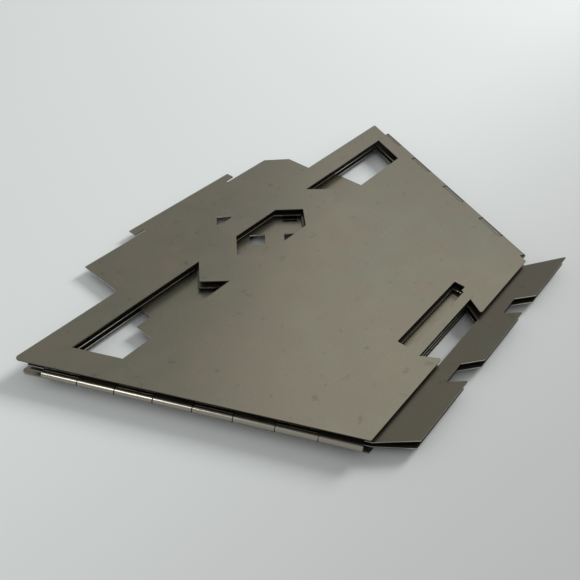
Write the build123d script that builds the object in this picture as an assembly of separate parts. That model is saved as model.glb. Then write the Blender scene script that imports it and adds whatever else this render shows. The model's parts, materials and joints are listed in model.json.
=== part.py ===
"""Folding camp stove: four trapezoid sheet walls on rolled piano hinges, folded flat like a fan, with a loose
vented floor plate stored between the two middle walls. Millimetres, +Z up, lying folded on its underside."""

from build123d import *
from math import cos, radians, sin, tan
import os

# Sheet and hinge stock
SHEET = 0.5  # thickness of every wall and of the floor plate
BARREL_RADIUS = 1.375  # outside of a rolled knuckle
PIN_RADIUS = 0.845
CURL_ANGLE = 285.0  # how far the sheet wraps round the pin
LEVEL = 2 * BARREL_RADIUS - SHEET  # from one folded wall to the next

# Plan of a wall: the rim is its wide edge at y = 0, and the feet end is its narrow edge
WALL_HEIGHT = 105.55
LEG_ANGLE = radians(25.93)  # each leg's slant from the wall's centre line
RIGHT_AXIS_X = 101.8  # hinge axes where they cross the rim line
LEFT_AXIS_X = -104.5
FREE_EDGE_X = -103.7  # unhinged left leg of the two outer walls
EDGE_SETBACK = 1.6  # from a hinge axis in to the sheet's edge
INNER_RIM_DROP = 3.5  # the two footed walls stop short of the rim line
CORNER_RADIUS = 1.2
SMALL_RADIUS = 0.6

# Hinges: eight knuckles each, measured along the leg from the rim
KNUCKLES = 8
KNUCKLE_GAP = 0.35
RIGHT_SPAN = (11.1, 114.8)
LEFT_SPAN = (10.8, 115.9)
EAR_SETBACK = 1.15  # sheet above the first knuckle reaches closer to the axis
EAR_LOW_Y = -9.2

# Row of air openings under the rim
OPENING_TOP = -10.5
OPENING_BOTTOM = -27.4
OPENING_MIDDLE = -19.15
OPENING_OUTER = 88.4
OPENING_OUTER_LOW = 80.3
OPENING_INNER = 32.0
OPENING_TIP = 39.4
HEXAGON_HALF_WIDTH = 19.8
HEXAGON_SHOULDER = 11.8
LEFT_WALL_MARGIN = 3.0  # the left wall's openings are larger at the top and outer ends

# Stepped slot and dovetail near the feet
SLOT_CENTRE = 2.34
SLOT_HALF_WIDTH = 18.85
SLOT_STEP_HALF_WIDTH = 16.2
SLOT_TOP = -90.7
FOOTED_SLOT_TOP = -91.4
SLOT_STEP = -94.95
SLOT_BOTTOM = -95.9
DOVETAIL_CENTRE = -0.17
DOVETAIL_TOP = -99.4
DOVETAIL_HALF_WIDTH = 17.0
DOVETAIL_MOUTH_HALF_WIDTH = 13.1

# Feet of the two footed walls: three leaning tabs
FOOT_COUNT = 3
FOOT_PITCH = 39.0
FOOT_WIDTH = 28.0
FOOT_LEFT = -41.9
FOOT_Y = -115.8
FOOT_NOTCH_Y = -110.6
FOOT_UNDERCUT = 5.1
FOOT_LEAN = 6.6
BACK_FOOT_SHIFT = -1.5

# Floor plate
FLOOR_LEFT = -60.6
FLOOR_TOP = 25.2
FLOOR_SIDE = 111.9
FLOOR_CHAMFER = 8.6
FLOOR_CLEARANCE = 0.05  # above the wall that it lies on
HOOK_CENTRE = -6.5
HOOK_HALF_WIDTH = 28.9
HOOK_HEIGHT = 5.2
HOOK_UNDERCUT = 4.9
HOOK_SLOT = 1.3
LEFT_TAB = (-16.1, -45.4, 6.5)  # top, bottom and reach
RIGHT_TAB = (-9.7, -51.8, 4.1)
BOTTOM_TAB = (-13.5, 22.5, 7.8)  # left, right and reach
VENT_CENTRE = (-4.4, -35.1)
VENT_PITCH = 10.0
VENT_HALF_DIAGONAL = 4.4
VENT_ROWS = 4  # rows above and below the middle one


def outline(points, radius=0.0):
    """A flat face inside the given corners, all rounded by radius."""
    face = make_face(Polyline(*points, close=True))
    return fillet(face.vertices(), radius) if radius else face


def leg_x(axis_x, y, setback=0.0):
    """The x of a line along a leg, the given distance inside its hinge axis, at height y."""
    side = 1 if axis_x > 0 else -1
    return axis_x - side * (setback / cos(LEG_ANGLE) - y * tan(LEG_ANGLE))


def air_openings(centre, margin=0.0):
    """Two mirrored arrow-tailed openings, larger by the margin above and outside, with a hexagon between them."""
    shapes = []
    for side in (-1, 1):
        corners = [
            (OPENING_OUTER + margin, OPENING_TOP + margin),
            (OPENING_INNER, OPENING_TOP + margin),
            (OPENING_TIP, OPENING_MIDDLE),
            (OPENING_INNER, OPENING_BOTTOM),
            (OPENING_OUTER_LOW + margin, OPENING_BOTTOM),
        ]
        shapes.append(outline([(centre + side * x, y) for x, y in corners]))
    hexagon = [
        (HEXAGON_SHOULDER, OPENING_TOP),
        (-HEXAGON_SHOULDER, OPENING_TOP),
        (-HEXAGON_HALF_WIDTH, OPENING_MIDDLE),
        (-HEXAGON_SHOULDER, OPENING_BOTTOM),
        (HEXAGON_SHOULDER, OPENING_BOTTOM),
        (HEXAGON_HALF_WIDTH, OPENING_MIDDLE),
    ]
    shapes.append(outline([(centre + x, y) for x, y in hexagon]))
    return shapes


def lock_slot(centre, top):
    """The stepped slot that takes a tab of the floor plate, wide above and narrower below."""
    middle = centre + SLOT_CENTRE
    corners = [
        (-SLOT_HALF_WIDTH, top),
        (-SLOT_HALF_WIDTH, SLOT_STEP),
        (-SLOT_STEP_HALF_WIDTH, SLOT_STEP),
        (-SLOT_STEP_HALF_WIDTH, SLOT_BOTTOM),
        (SLOT_STEP_HALF_WIDTH, SLOT_BOTTOM),
        (SLOT_STEP_HALF_WIDTH, SLOT_STEP),
        (SLOT_HALF_WIDTH, SLOT_STEP),
        (SLOT_HALF_WIDTH, top),
    ]
    return outline([(middle + x, y) for x, y in corners], SMALL_RADIUS / 2)


def dovetail(centre, bottom):
    """A notch wider inside than at its mouth."""
    middle = centre + DOVETAIL_CENTRE
    corners = [
        (-DOVETAIL_HALF_WIDTH, DOVETAIL_TOP),
        (DOVETAIL_HALF_WIDTH, DOVETAIL_TOP),
        (DOVETAIL_MOUTH_HALF_WIDTH, bottom),
        (-DOVETAIL_MOUTH_HALF_WIDTH, bottom),
    ]
    return outline([(middle + x, y) for x, y in corners])


def outer_wall_face(margin=0.0):
    """Flat face of a wall with one hinged leg, one free leg and an open dovetail in its narrow edge."""
    right_top = leg_x(RIGHT_AXIS_X, 0, EDGE_SETBACK)
    right_low = leg_x(RIGHT_AXIS_X, -WALL_HEIGHT, EDGE_SETBACK)
    left_low = leg_x(FREE_EDGE_X, -WALL_HEIGHT)
    face = outline([(FREE_EDGE_X, 0), (right_top, 0), (right_low, -WALL_HEIGHT), (left_low, -WALL_HEIGHT)])
    rim_left, rim_right = face.vertices().sort_by(Axis.Y)[2:].sort_by(Axis.X)
    face = fillet(rim_left, CORNER_RADIUS)
    face = fillet(face.vertices().sort_by_distance(rim_right.center())[0], SMALL_RADIUS)
    face -= air_openings(0, margin)
    face -= lock_slot(0, SLOT_TOP)
    face -= dovetail(0, -WALL_HEIGHT)
    lips = [v for v in face.vertices() if abs(v.Y + WALL_HEIGHT) < 0.01 and abs(v.X) < DOVETAIL_HALF_WIDTH]
    return fillet(lips, SMALL_RADIUS)


def footed_wall_face(foot_shift):
    """Flat face of a wall hinged on both legs, standing on three leaning feet."""
    centre = (LEFT_AXIS_X + RIGHT_AXIS_X) / 2
    corners = [(leg_x(LEFT_AXIS_X, -WALL_HEIGHT, EDGE_SETBACK), -WALL_HEIGHT)]
    for number in range(FOOT_COUNT):
        toe = FOOT_LEFT + foot_shift + number * FOOT_PITCH
        if number:
            corners.append((toe - FOOT_LEAN, FOOT_NOTCH_Y))
        corners += [(toe, FOOT_Y), (toe + FOOT_WIDTH, FOOT_Y)]
        if number < FOOT_COUNT - 1:
            corners.append((toe + FOOT_WIDTH - FOOT_UNDERCUT, FOOT_NOTCH_Y))
    corners.append((leg_x(RIGHT_AXIS_X, -WALL_HEIGHT, EDGE_SETBACK), -WALL_HEIGHT))
    for axis_x in (RIGHT_AXIS_X, LEFT_AXIS_X):
        ear = [
            (leg_x(axis_x, EAR_LOW_Y, EDGE_SETBACK), EAR_LOW_Y),
            (leg_x(axis_x, EAR_LOW_Y, EAR_SETBACK), EAR_LOW_Y),
            (leg_x(axis_x, -INNER_RIM_DROP, EAR_SETBACK), -INNER_RIM_DROP),
        ]
        corners += ear if axis_x > 0 else ear[::-1]
    face = outline(corners, SMALL_RADIUS / 2)
    face -= air_openings(centre)
    face -= lock_slot(centre, FOOTED_SLOT_TOP)
    return face - dovetail(centre, -WALL_HEIGHT)


def hinge_plane(axis_x, z):
    """Plane across a hinge: x points out of the stove, y up, with the axis through its origin."""
    side = 1 if axis_x > 0 else -1
    outward = (side * cos(LEG_ANGLE), -sin(LEG_ANGLE), 0)
    along = (outward[1], -outward[0], 0)
    return Plane(origin=(axis_x, 0, z), x_dir=outward, z_dir=along)


def along_leg(axis_x, z, start, end, profile):
    """A profile drawn in the hinge plane, run along the leg from start to end."""
    side = 1 if axis_x > 0 else -1
    bar = extrude(profile, amount=side * (end - start))
    return hinge_plane(axis_x, z) * Pos(0, 0, side * start) * bar


def curl_profile(above):
    """Section of a rolled knuckle: a strip off the sheet that wraps round the pin."""
    ring = Circle(BARREL_RADIUS) - Circle(BARREL_RADIUS - SHEET)
    reach = 2 * BARREL_RADIUS
    gap_end = radians(90 + 360 - CURL_ANGLE)
    gap = outline([(0, 0), (0, reach), (reach * cos(gap_end), reach * sin(gap_end))])
    strip = Pos(-EDGE_SETBACK / 2, BARREL_RADIUS - SHEET / 2) * Rectangle(EDGE_SETBACK, SHEET)
    profile = ring - gap + strip
    return profile if above else mirror(profile, Plane.XZ)


def knuckles(axis_x, axis_z, span, first, above):
    """Every second knuckle of a hinge, from the first one given."""
    pitch = (span[1] - span[0]) / KNUCKLES
    rolled = []
    for number in range(first, KNUCKLES, 2):
        start = span[0] + number * pitch + KNUCKLE_GAP / 2
        end = span[0] + (number + 1) * pitch - KNUCKLE_GAP / 2
        rolled.append(along_leg(axis_x, axis_z, start, end, curl_profile(above)))
    return Compound(rolled)


def hinge_pin(axis_x, axis_z, span):
    """Plain wire pin, as long as its row of knuckles."""
    return along_leg(axis_x, axis_z, span[0], span[1], Circle(PIN_RADIUS))


def wall(face, level):
    """A wall's flat sheet at its level in the folded stack."""
    return Pos(0, 0, level * LEVEL) * extrude(face, amount=SHEET)


def floor_plate(z):
    """Square vented plate with two cut corners, a long hooked tab and a plain tab on each side."""
    right = FLOOR_LEFT + FLOOR_SIDE
    bottom = FLOOR_TOP - FLOOR_SIDE
    hook_left = HOOK_CENTRE - HOOK_HALF_WIDTH
    hook_right = HOOK_CENTRE + HOOK_HALF_WIDTH
    slot_top = FLOOR_TOP + HOOK_SLOT
    hook_top = FLOOR_TOP + HOOK_HEIGHT
    corners = [
        (FLOOR_LEFT, FLOOR_TOP),
        (hook_left + HOOK_UNDERCUT, FLOOR_TOP),
        (hook_left + HOOK_UNDERCUT, slot_top),
        (hook_left, slot_top),
        (hook_left, hook_top),
        (hook_right, hook_top),
        (hook_right, slot_top),
        (hook_right - HOOK_UNDERCUT, slot_top),
        (hook_right - HOOK_UNDERCUT, FLOOR_TOP),
        (right - FLOOR_CHAMFER, FLOOR_TOP),
        (right, FLOOR_TOP - FLOOR_CHAMFER),
        (right, RIGHT_TAB[0]),
        (right + RIGHT_TAB[2], RIGHT_TAB[0]),
        (right + RIGHT_TAB[2], RIGHT_TAB[1]),
        (right, RIGHT_TAB[1]),
        (right, bottom),
        (BOTTOM_TAB[1], bottom),
        (BOTTOM_TAB[1], bottom - BOTTOM_TAB[2]),
        (BOTTOM_TAB[0], bottom - BOTTOM_TAB[2]),
        (BOTTOM_TAB[0], bottom),
        (FLOOR_LEFT + FLOOR_CHAMFER, bottom),
        (FLOOR_LEFT, bottom + FLOOR_CHAMFER),
        (FLOOR_LEFT, LEFT_TAB[1]),
        (FLOOR_LEFT - LEFT_TAB[2], LEFT_TAB[1]),
        (FLOOR_LEFT - LEFT_TAB[2], LEFT_TAB[0]),
        (FLOOR_LEFT, LEFT_TAB[0]),
    ]
    face = outline(corners, SMALL_RADIUS / 2)
    vent = Rot(0, 0, 45) * Rectangle(*[VENT_HALF_DIAGONAL * 2**0.5] * 2)
    vents = []
    for row in range(-VENT_ROWS, VENT_ROWS + 1):
        reach = VENT_ROWS - abs(row)
        for column in range(-reach, reach + 1, 2):
            place = (VENT_CENTRE[0] + column * VENT_PITCH, VENT_CENTRE[1] + row * VENT_PITCH)
            vents.append(Pos(*place) * vent)
    face -= vents
    return Pos(0, 0, z) * extrude(face, amount=SHEET)


def build():
    """All pieces by name, folded and stacked, with the underside at z = 0."""
    left_level, back_level, right_level, front_level = range(4)
    low_axis_z = BARREL_RADIUS
    middle_axis_z = low_axis_z + LEVEL
    top_axis_z = middle_axis_z + LEVEL

    pieces = {
        "front_wall": wall(outer_wall_face(), front_level),
        "front_wall_knuckles": knuckles(RIGHT_AXIS_X, top_axis_z, RIGHT_SPAN, 1, True),
        "right_wall": wall(footed_wall_face(0), right_level),
        "right_wall_front_knuckles": knuckles(RIGHT_AXIS_X, top_axis_z, RIGHT_SPAN, 0, False),
        "right_wall_middle_knuckles": knuckles(LEFT_AXIS_X, middle_axis_z, LEFT_SPAN, 1, True),
        "back_wall": wall(footed_wall_face(BACK_FOOT_SHIFT), back_level),
        "back_wall_middle_knuckles": knuckles(LEFT_AXIS_X, middle_axis_z, LEFT_SPAN, 0, False),
        "back_wall_back_knuckles": knuckles(RIGHT_AXIS_X, low_axis_z, RIGHT_SPAN, 0, True),
        "left_wall": wall(outer_wall_face(LEFT_WALL_MARGIN), left_level),
        "left_wall_knuckles": knuckles(RIGHT_AXIS_X, low_axis_z, RIGHT_SPAN, 1, False),
        "front_hinge_pin": hinge_pin(RIGHT_AXIS_X, top_axis_z, RIGHT_SPAN),
        "middle_hinge_pin": hinge_pin(LEFT_AXIS_X, middle_axis_z, LEFT_SPAN),
        "back_hinge_pin": hinge_pin(RIGHT_AXIS_X, low_axis_z, RIGHT_SPAN),
        "floor_plate": floor_plate(back_level * LEVEL + SHEET + FLOOR_CLEARANCE),
    }
    box = Compound(list(pieces.values())).bounding_box(optimal=True)
    centre = box.center()
    print("plan centre", round(centre.X, 4), round(centre.Y, 4), "size", box.size)
    for name, axis_x, z in (
        ("front", RIGHT_AXIS_X, top_axis_z),
        ("middle", LEFT_AXIS_X, middle_axis_z),
        ("back", RIGHT_AXIS_X, low_axis_z),
    ):
        print(name, "hinge through", round(axis_x - centre.X, 4), round(-centre.Y, 4), round(z, 4))
    return {name: Pos(-centre.X, -centre.Y, 0) * piece for name, piece in pieces.items()}


os.makedirs("parts", exist_ok=True)
for name, piece in build().items():
    export_step(piece, f"parts/{name}.step")
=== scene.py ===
# %% [markdown]
# # A folding camp stove
# The stove is four thin metal walls joined by rolled hinges and folded flat like a fan, with a loose
# vented floor plate stored between the two middle walls. Every piece of it is stiff sheet or wire, so all
# its shapes come from the CAD model, and this scene gives them their metal, their light and the camera of
# the photograph.

# %% Load the frame
import json
import math

import bpy
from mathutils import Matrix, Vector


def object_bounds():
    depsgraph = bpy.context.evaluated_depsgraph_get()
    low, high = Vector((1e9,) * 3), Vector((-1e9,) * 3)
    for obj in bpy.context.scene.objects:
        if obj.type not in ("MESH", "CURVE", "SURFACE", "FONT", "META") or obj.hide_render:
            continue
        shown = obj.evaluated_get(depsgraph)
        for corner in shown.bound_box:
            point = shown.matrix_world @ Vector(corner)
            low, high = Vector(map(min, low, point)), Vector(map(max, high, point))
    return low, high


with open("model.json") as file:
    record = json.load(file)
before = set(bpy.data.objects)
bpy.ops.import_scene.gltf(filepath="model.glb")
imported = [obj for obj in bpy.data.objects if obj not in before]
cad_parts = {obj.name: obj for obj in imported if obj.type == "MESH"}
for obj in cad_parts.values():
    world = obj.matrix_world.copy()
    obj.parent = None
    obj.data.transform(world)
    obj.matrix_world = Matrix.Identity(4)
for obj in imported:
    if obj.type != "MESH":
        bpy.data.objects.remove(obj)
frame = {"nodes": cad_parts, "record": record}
cad_low, cad_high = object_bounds()
print("pieces:", ", ".join(sorted(frame["nodes"])))

# %% [markdown]
# ## Smooth rolled metal, sharp cut metal
# A rolled knuckle and a drawn wire are round and should shade smoothly round the bend, while a cut sheet has
# sharp edges. Shading by face angle could tell them apart, but the CAD mesh already carries the normals of
# its true surfaces, which do it better. So nothing is remeshed, and the cell only reports what came in.

# %% Count the faces
for name, node in sorted(frame["nodes"].items()):
    print(name, len(node.data.polygons), "faces")

# %% [markdown]
# ## Placing shader nodes
# Each finish is a small tree of shader nodes. Made one by one they take several lines each, so one helper
# places a node, applies its settings, and sets or links its inputs in a single call.


# %% A node in a tree
def place(tree, kind, inputs=(), **settings):
    """A new node in the tree, with its settings, and with its inputs set or linked."""
    node = tree.nodes.new(kind)
    for key, value in settings.items():
        setattr(node, key, value)
    for key, value in dict(inputs).items():
        if isinstance(value, bpy.types.NodeSocket):
            tree.links.new(value, node.inputs[key])
        else:
            node.inputs[key].default_value = value
    return node


print("place: one shader node per call")

# %% [markdown]
# ## Effects as groups
# An effect that several metals share, such as the dark rim of a cut, is built once as a group with named
# sockets. It could be copied into each material, but then a change would have to be made in each of them. A
# group only puts out a colour, a value or a mask, and each metal keeps its own shader.


# %% An empty group
def effect(name, inputs, outputs):
    """An empty shader group with named sockets: the tree, its input node and its output node."""
    tree = bpy.data.node_groups.new(name, "ShaderNodeTree")
    for label, kind, value in inputs:
        socket = tree.interface.new_socket(label, in_out="INPUT", socket_type=kind)
        socket.default_value = value
    for label, kind in outputs:
        tree.interface.new_socket(label, in_out="OUTPUT", socket_type=kind)
    return tree, tree.nodes.new("NodeGroupInput"), tree.nodes.new("NodeGroupOutput")


FLOAT, COLOUR, VECTOR = "NodeSocketFloat", "NodeSocketColor", "NodeSocketVector"
print("sockets:", FLOAT, COLOUR, VECTOR)

# %% [markdown]
# ## Sums on masks and colours
# Masks are values from 0 to 1. Three helpers do most of the sums with them: a maths node that keeps its
# result between 0 and 1, a smooth move from one range to another, and a mix of two colours.


# %% Sums
def compute(tree, operation, first, second=0.0):
    """A maths node on one or two values or sockets, clamped to 0..1, and its output."""
    node = place(tree, "ShaderNodeMath", {0: first, 1: second}, operation=operation, use_clamp=True)
    return node.outputs[0]


def remap(tree, value, low, high, out_low=0.0, out_high=1.0):
    """A value moved smoothly from one range to another."""
    node = place(
        tree,
        "ShaderNodeMapRange",
        {"Value": value, "From Min": low, "From Max": high, "To Min": out_low, "To Max": out_high},
        interpolation_type="SMOOTHSTEP",
    )
    return node.outputs["Result"]


def mix_colour(tree, share, first, second):
    """Two colours mixed by a share."""
    node = place(tree, "ShaderNodeMix", data_type="RGBA")
    for key, value in (("Factor", share), ("A", first), ("B", second)):
        socket = next(s for s in node.inputs if s.name == key and s.enabled)
        if isinstance(value, bpy.types.NodeSocket):
            tree.links.new(value, socket)
        else:
            socket.default_value = value
    return next(s for s in node.outputs if s.enabled)


print("sums: compute, remap, mix_colour")

# %% [markdown]
# ## Blasted titanium
# The sheet is titanium, blasted to a dull satin: olive grey, with faint cloudy patches where hands and heat
# have toned it a little pinker or greener, and a very fine grain. It could be a photograph of metal wrapped
# on, but clouds of noise at three sizes give the same look at any distance and have no seams. A fourth
# noise, cut off near its top, leaves the small dull marks of handling.

# %% Group: clouded metal, its sockets
PLAIN_METAL = (0.3, 0.3, 0.25, 1)
clouded, given, result = effect(
    "clouded metal",
    [
        ("Metal", COLOUR, PLAIN_METAL),
        ("Cool Tone", COLOUR, PLAIN_METAL),
        ("Warm Tone", COLOUR, PLAIN_METAL),
        ("Cloud Size", FLOAT, 30.0),
        ("Shine", FLOAT, 0.4),
        ("Dullness", FLOAT, 0.55),
    ],
    [("Colour", COLOUR), ("Roughness", FLOAT), ("Height", FLOAT)],
)
print("clouded metal:", len(clouded.interface.items_tree), "sockets")

# %% Four noises
SHIFT = (0.31, 0.17, 0.05)
where = place(clouded, "ShaderNodeTexCoord").outputs["Object"]
shifted = place(clouded, "ShaderNodeMapping", {"Vector": where, "Location": SHIFT}).outputs[0]


def noise(tree, vector, scale, detail):
    """A noise texture along a vector, and its value."""
    inputs = {"Vector": vector, "Scale": scale, "Detail": detail}
    return place(tree, "ShaderNodeTexNoise", inputs).outputs["Fac"]


clouds = noise(clouded, where, scale=given.outputs["Cloud Size"], detail=4.0)
smudges = noise(clouded, shifted, scale=95.0, detail=5.0)
grain = noise(clouded, where, scale=2600.0, detail=2.0)
marks = noise(clouded, shifted, scale=260.0, detail=4.0)
print("noises: clouds, smudges, grain, marks")

# %% Tones, grain and marks as a colour
cool_share = remap(clouded, clouds, low=0.4, high=0.66)
warm_share = remap(clouded, smudges, low=0.46, high=0.74)
toned = mix_colour(clouded, cool_share, given.outputs["Metal"], given.outputs["Cool Tone"])
toned = mix_colour(clouded, warm_share, toned, given.outputs["Warm Tone"])
speckle = remap(clouded, grain, low=0.3, high=0.7, out_low=0.94, out_high=1.06)
dimmed = remap(clouded, marks, low=0.62, high=0.76, out_low=1.0, out_high=0.8)
for strength in (speckle, dimmed):
    scaled = place(clouded, "ShaderNodeVectorMath", {0: toned, "Scale": strength}, operation="SCALE")
    toned = scaled.outputs[0]
clouded.links.new(toned, result.inputs["Colour"])
print("colour: three tones, scaled by the grain and the marks")

# %% Shine and grain
rough = place(
    clouded,
    "ShaderNodeMapRange",
    {
        "Value": smudges,
        "From Min": 0.35,
        "From Max": 0.65,
        "To Min": given.outputs["Shine"],
        "To Max": given.outputs["Dullness"],
    },
)
clouded.links.new(rough.outputs["Result"], result.inputs["Roughness"])
clouded.links.new(grain, result.inputs["Height"])
print("clouded metal:", len(clouded.nodes), "nodes")

# %% [markdown]
# ## The cut edge, with painted shade and a painted highlight
# Every outline and opening was cut through the sheet. The narrow rim of the cut is painted dark, as painted
# shade for the dark gaps and openings between the sheets. Its faces could be picked one by one and given a
# material of their own, but on a flat sheet a face belongs to the cut wherever its normal lies in the
# sheet's plane. So the mask comes from the object-space normal: 0 on the two flat faces and 1 on the cut.
#
# The upper half of the rim is painted bright, a painted highlight for the lit top edge of each sheet below
# the topmost. The folded walls lie at even steps, so the height within one such step tells how far up its
# rim a point lies. The floor plate lies higher in its step than any wall and has the painted highlight all
# over its rim. The topmost wall has none.

# %% Heights in the folded stack
SHEET = 0.0005  # in metres, as all lengths here
WALLS = 4

wall_step = (cad_high[2] - cad_low[2] - SHEET) / (WALLS - 1)
# where the painted highlight lies on a wall's rim
highlight_middle = 0.8 * SHEET  # above a wall's underside
highlight_reach = 0.26 * SHEET  # up and down from there
under_topmost = cad_high[2] - 1.5 * SHEET
print("walls every", round(wall_step * 1000, 3), "mm, topmost above", round(under_topmost * 1000, 3), "mm")

# %% Group: cut edge
cut, given, result = effect("cut edge", [("Spread", FLOAT, 0.5)], [("Mask", FLOAT), ("Painted Highlight", FLOAT)])
spot = place(cut, "ShaderNodeTexCoord").outputs
facing = place(cut, "ShaderNodeSeparateXYZ", {0: spot["Normal"]}).outputs
level = place(cut, "ShaderNodeSeparateXYZ", {0: spot["Object"]}).outputs["Z"]
on_cut = compute(cut, "LESS_THAN", compute(cut, "ABSOLUTE", facing["Z"]), given.outputs["Spread"])
step = compute(cut, "MODULO", level, wall_step)
strip = {0: step, 1: highlight_middle, 2: highlight_reach}
# a painted highlight on the upper part of each rim below the topmost wall
wall_highlight = place(cut, "ShaderNodeMath", strip, operation="COMPARE").outputs[0]
plate_highlight = compute(cut, "GREATER_THAN", step, highlight_middle + highlight_reach)
below_top = compute(cut, "LESS_THAN", level, under_topmost)
highlight_strip = compute(cut, "MULTIPLY", compute(cut, "ADD", wall_highlight, plate_highlight), below_top)
cut.links.new(on_cut, result.inputs["Mask"])
cut.links.new(compute(cut, "MULTIPLY", highlight_strip, on_cut), result.inputs["Painted Highlight"])
print("cut edge:", len(cut.nodes), "nodes")

# %% [markdown]
# ## Burnished where it is rolled
# Rolling a tongue of the sheet round a wire rubs its outside smooth, so a knuckle is satin where it leaves
# the sheet and shines round the bend. The bend could have a material of its own, but that would end in a
# hard line. The same object-space normal tells how far round the roll a point lies, so the mask grows softly
# from 0 on the flat top to 1 at the side. The roll's two ends are cut faces, painted dark like the sheets'
# rims as painted shade for the gaps between the knuckles, and they face along the hinge, nearly in Y.

# %% Group: rolled
END_FACING = 0.8  # a normal more than this along Y is on a cut end

rolled, given, result = effect(
    "rolled",
    [("Start", FLOAT, 0.995), ("End", FLOAT, 0.9)],
    [("Mask", FLOAT), ("Ends", FLOAT)],
)
normal = place(rolled, "ShaderNodeTexCoord").outputs["Normal"]
facing = place(rolled, "ShaderNodeSeparateXYZ", {0: normal}).outputs
upright = compute(rolled, "ABSOLUTE", facing["Z"])
along = compute(rolled, "ABSOLUTE", facing["Y"])
turn = remap(rolled, upright, low=given.outputs["Start"], high=given.outputs["End"])
rolled.links.new(turn, result.inputs["Mask"])
rolled.links.new(compute(rolled, "GREATER_THAN", along, END_FACING), result.inputs["Ends"])
print("rolled:", len(rolled.nodes), "nodes")

# %% [markdown]
# ## Fine scuffs
# The walls slide on each other each time the stove is folded, which leaves a few hair-fine brighter lines.
# They could be drawn one by one, but noise stretched far along one direction and cut off near its top makes
# such lines by itself, and a second slow noise lets them come and go.

# %% Group: scuffs
HAIR_STRETCH = (40.0, 2200.0, 60.0)

scuffs, given, result = effect("scuffs", [("Turn", VECTOR, (0.0, 0.0, 0.6))], [("Mask", FLOAT)])
where = place(scuffs, "ShaderNodeTexCoord").outputs["Object"]
stretched = place(
    scuffs,
    "ShaderNodeMapping",
    {"Vector": where, "Scale": HAIR_STRETCH, "Rotation": given.outputs["Turn"]},
).outputs[0]
hairs = remap(scuffs, noise(scuffs, stretched, scale=1.0, detail=2.0), low=0.64, high=0.74)
patches = remap(scuffs, noise(scuffs, where, scale=45.0, detail=1.0), low=0.52, high=0.66)
scuffs.links.new(compute(scuffs, "MULTIPLY", hairs, patches), result.inputs["Mask"])
print("scuffs:", len(scuffs.nodes), "nodes")

# %% [markdown]
# ## The tones
# Each metal has three tones of one colour, which the clouds mix, since a single tone looks painted. The two
# outer walls and the floor plate are olive grey. The two footed walls are the same olive made darker, as
# painted shade where they lie inside the folded stack, and the wire pins are a plainer grey, darkened as
# painted shade in the knuckle gaps. Besides these there are the pale bare metal of the scuffs, also used as
# a painted highlight on the rims, the dark grey-brown of the painted shade on the cut rims and knuckle ends,
# and the warm grey of a burnished bend.

# %% Tones
OLIVE = ((0.200, 0.184, 0.138), (0.190, 0.183, 0.138), (0.216, 0.185, 0.146))
# the footed walls' olive, darkened as painted shade
SHADED_OLIVE = ((0.079, 0.072, 0.053), (0.075, 0.072, 0.054), (0.086, 0.073, 0.056))
# the pins' grey, darkened as painted shade where they show in the knuckle gaps
SHADED_WIRE = ((0.20, 0.19, 0.17), (0.19, 0.19, 0.17), (0.22, 0.20, 0.17))
# pale bare metal of the scuffs, also used for the painted highlight on the rims
SCUFF_AND_HIGHLIGHT = (0.78, 0.75, 0.67, 1.0)
# painted shade for the cut rims and the knuckles' cut ends
PAINTED_SHADE_TONE = (0.11, 0.10, 0.08, 1.0)
BURNISHED = (0.33, 0.305, 0.26, 1.0)
# dark olive, wire and heated are darkened as painted shade, and cut is also the painted highlight
print("tones: olive, dark olive, wire, cut, heated, burnished")

# %% [markdown]
# ## What a form adds to its metal
# A sheet has scuffs, cut rims painted dark as painted shade and a painted highlight on their upper part, a
# knuckle has its burnished bend and its cut ends painted dark as painted shade, and a wire has neither. Each
# form takes the colour and the roughness of the clouded metal and gives them back with its own marks, so
# that one recipe serves every metal.

# %% Marks of a sheet and of a knuckle
SCUFF_STRENGTH = 0.06
HIGHLIGHT_POLISH = 0.1
BEND_POLISH = 0.1


def sheet_marks(tree, colour, roughness):
    """Colour and roughness of a sheet with its scuffs, its cut rims painted dark as painted shade, and a
    painted highlight on the rims.
    """
    worn = place(tree, "ShaderNodeGroup", node_tree=scuffs).outputs
    rim = place(tree, "ShaderNodeGroup", node_tree=cut).outputs
    share = compute(tree, "MULTIPLY", worn["Mask"], SCUFF_STRENGTH)
    colour = mix_colour(tree, share, colour, SCUFF_AND_HIGHLIGHT)
    # painted shade: every cut rim is darkened
    colour = mix_colour(tree, rim["Mask"], colour, PAINTED_SHADE_TONE)
    # painted highlight: the upper part of the rims is brightened
    colour = mix_colour(tree, rim["Painted Highlight"], colour, SCUFF_AND_HIGHLIGHT)
    polish = compute(tree, "MULTIPLY", rim["Painted Highlight"], HIGHLIGHT_POLISH)
    return colour, compute(tree, "SUBTRACT", roughness, polish)


def knuckle_marks(tree, colour, roughness):
    """Colour and roughness of a rolled knuckle with its bright bend, and its cut ends painted dark as
    painted shade.
    """
    bend = place(tree, "ShaderNodeGroup", node_tree=rolled).outputs
    colour = mix_colour(tree, bend["Mask"], colour, BURNISHED)
    # painted shade: the cut ends are darkened so the gaps between knuckles read dark
    colour = mix_colour(tree, bend["Ends"], colour, PAINTED_SHADE_TONE)
    polish = compute(tree, "MULTIPLY", bend["Mask"], BEND_POLISH)
    return colour, compute(tree, "SUBTRACT", roughness, polish)


print("forms with marks: sheet, knuckle")

# %% [markdown]
# ## One recipe for every metal
# The clouded metal gives the colour and the roughness, the form adds its marks, and the grain is a very low
# bump. A metal could also have a shader built from scratch, but Blender's own principled one already
# reflects as a metal does.

# %% Recipe for a metal
GRAIN_DEPTH = 0.00003
GRAIN_STRENGTH = 0.2


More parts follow.
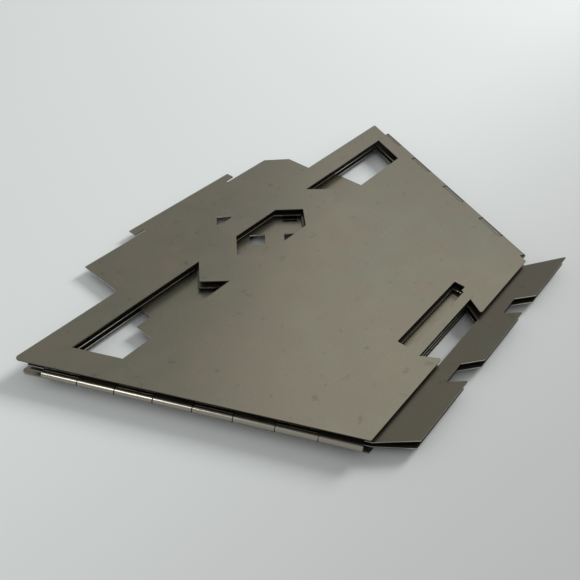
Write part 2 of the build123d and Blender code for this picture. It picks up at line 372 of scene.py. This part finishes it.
def titanium(name, tones, shine, dullness, marks_of=None, cloud_size=28.0, metallic=0.9):
    """A metal from the shared effects, with the marks of its form if it has any."""
    material = bpy.data.materials.new(name)
    material.use_nodes = True
    tree = material.node_tree
    shader = next(n for n in tree.nodes if n.type == "BSDF_PRINCIPLED")
    shader.inputs["Metallic"].default_value = metallic
    values = {"Cloud Size": cloud_size, "Shine": shine, "Dullness": dullness}
    surface = place(tree, "ShaderNodeGroup", node_tree=clouded)
    for key, tone in zip(("Metal", "Cool Tone", "Warm Tone"), tones):
        surface.inputs[key].default_value = (*tone, 1.0)
    for key, value in values.items():
        surface.inputs[key].default_value = value
    colour, roughness = surface.outputs["Colour"], surface.outputs["Roughness"]
    if marks_of:
        colour, roughness = marks_of(tree, colour, roughness)
    relief = {"Height": surface.outputs["Height"], "Strength": GRAIN_STRENGTH, "Distance": GRAIN_DEPTH}
    bump = place(tree, "ShaderNodeBump", relief)
    tree.links.new(colour, shader.inputs["Base Color"])
    tree.links.new(roughness, shader.inputs["Roughness"])
    tree.links.new(bump.outputs[0], shader.inputs["Normal"])
    print(name, "with", len(tree.nodes), "nodes")
    return material


# %% The finishes
SATIN = {"shine": 0.29, "dullness": 0.36}
outer_knuckle = titanium("rolled outer sheet", OLIVE, **SATIN, marks_of=knuckle_marks)
finishes = {
    "outer_sheet": titanium("satin outer sheet", OLIVE, **SATIN, marks_of=sheet_marks),
    # the footed walls and their knuckles take the darker olive, which is painted shade
    "inner_sheet": titanium("satin inner sheet", SHADED_OLIVE, **SATIN, marks_of=sheet_marks),
    "rolled_knuckle": titanium("rolled inner sheet", SHADED_OLIVE, **SATIN, marks_of=knuckle_marks),
    "pin_wire": titanium("drawn wire", SHADED_WIRE, shine=0.2, dullness=0.35, cloud_size=200.0, metallic=1.0),
}

# %% [markdown]
# ## Each piece gets its metal
# The record names a slot for each piece, and each slot has a finish. The knuckles share one slot, but those
# of the two outer walls take the olive of their lighter sheets, while the others take the darker olive that
# is painted shade.

# %% Give out the finishes
OUTER_KNUCKLES = ("front_wall_knuckles", "left_wall_knuckles")
slots = {row["node"]: row["material_slot"] for row in frame["record"]["subparts"]}
for name, node in frame["nodes"].items():
    finish = outer_knuckle if name in OUTER_KNUCKLES else finishes[slots[name]]
    node.data.materials.clear()
    node.data.materials.append(finish)
    print(name, "->", finish.name)

# %% [markdown]
# ## The table
# The stove lies on a plain white table, and a wide plane a hair below it takes its shadow. In the photograph
# the table grows darker towards the lower right. Light that fell off in that way would also shade the stove,
# so the paint itself is shaded along Y instead.

# %% Table
TABLE_SPAN = 3.0
TABLE_DROP = 0.0002
NEAR_EDGE = -0.16  # the table's tone changes between these two places in Y
FAR_EDGE = 0.06
NEAR_PAINT = (0.47, 0.475, 0.465, 1)
FAR_PAINT = (0.71, 0.735, 0.72, 1)

half = TABLE_SPAN / 2
corners = [(-half, -half, 0), (half, -half, 0), (half, half, 0), (-half, half, 0)]
table_mesh = bpy.data.meshes.new("table")
table_mesh.from_pydata(corners, [], [(0, 1, 2, 3)])
table = bpy.data.objects.new("table", table_mesh)
table.location.z = -TABLE_DROP
bpy.context.scene.collection.objects.link(table)
print("table", TABLE_SPAN, "m wide")

# %% Table paint
paint = bpy.data.materials.new("table paint")
paint.use_nodes = True
brush = paint.node_tree
table_shader = next(n for n in brush.nodes if n.type == "BSDF_PRINCIPLED")
spot = place(brush, "ShaderNodeTexCoord").outputs["Object"]
across = place(brush, "ShaderNodeSeparateXYZ", {0: spot}).outputs["Y"]
far_share = remap(brush, across, low=NEAR_EDGE, high=FAR_EDGE)
brush.links.new(mix_colour(brush, far_share, NEAR_PAINT, FAR_PAINT), table_shader.inputs["Base Color"])
table_shader.inputs["Roughness"].default_value = 0.6
table_mesh.materials.append(paint)
print("table paint:", len(brush.nodes), "nodes")

# %% [markdown]
# ## The room
# Most of what lights the shadows and shines back from the metal is the pale room itself. The world stands
# for it, nearly white and a little cool, at about half strength. A picture of a room would put shapes into
# the metal that the photograph doesn't show.

# %% World
world = bpy.data.worlds.new("room")
bpy.context.scene.world = world
world.use_nodes = True
background = next(n for n in world.node_tree.nodes if n.type == "BACKGROUND")
background.inputs["Color"].default_value = (0.97, 0.99, 1.0, 1)
background.inputs["Strength"].default_value = 0.55
print("world strength", round(background.inputs["Strength"].default_value, 2))

# %% [markdown]
# ## Light
# By its shadows, the photograph's light is a window low behind the stove to the right, and the soft shadow
# falls towards the camera and to the left. A bright ceiling beyond the stove is what the flat metal mirrors
# to the camera, and a small pale wall, high on the left, is what the rolled knuckles mirror. One lamp could
# do all three, but its mirror image would burn a bright spot into the sheet. So the window only lights, and
# the other two are only mirrored.


# %% Lamps
def soft_lamp(name, place_at, size, power):
    """A square area lamp at a place, turned to the middle of the scene."""
    lamp = bpy.data.lights.new(name, "AREA")
    lamp.size = size
    lamp.energy = power
    holder = bpy.data.objects.new(name, lamp)
    holder.location = place_at
    holder.rotation_mode = "QUATERNION"
    holder.rotation_quaternion = (-Vector(place_at)).to_track_quat("-Z", "Y")
    bpy.context.scene.collection.objects.link(holder)
    print(name, power, "W at", place_at)
    return holder


window = soft_lamp("window", place_at=(1.62, -0.29, 0.95), size=0.55, power=30.0)
window.visible_glossy = False
ceiling = soft_lamp("bright ceiling", place_at=(0.87, 0.19, 1.27), size=1.4, power=4.5)
ceiling.visible_diffuse = False
wall = soft_lamp("pale wall", place_at=(-0.66, 0.24, 0.82), size=0.3, power=1.8)
wall.visible_diffuse = False

# %% [markdown]
# ## Camera
# A camera set by eye would come close, but this one was found by matching the top wall's corners, openings
# and knuckles to the photograph: a phone held about 22 cm away, looking down over the corner between the
# near row of knuckles and the feet.

# %% Camera
CAMERA_PLACE = (-0.12726, -0.10228, 0.14785)
CAMERA_TURN = (45.9138, 0.8815, -48.7601)  # in degrees

camera_data = bpy.data.cameras.new("camera")
camera_data.sensor_width = 36.0
camera_data.lens = 34.568
camera_data.clip_start = 0.01
camera = bpy.data.objects.new("camera", camera_data)
camera.location = CAMERA_PLACE
camera.rotation_euler = [math.radians(angle) for angle in CAMERA_TURN]
bpy.context.scene.collection.objects.link(camera)
bpy.context.scene.camera = camera
bpy.context.scene.view_settings.view_transform = "Standard"
print("camera", round(camera.location.length, 2), "m from the middle")
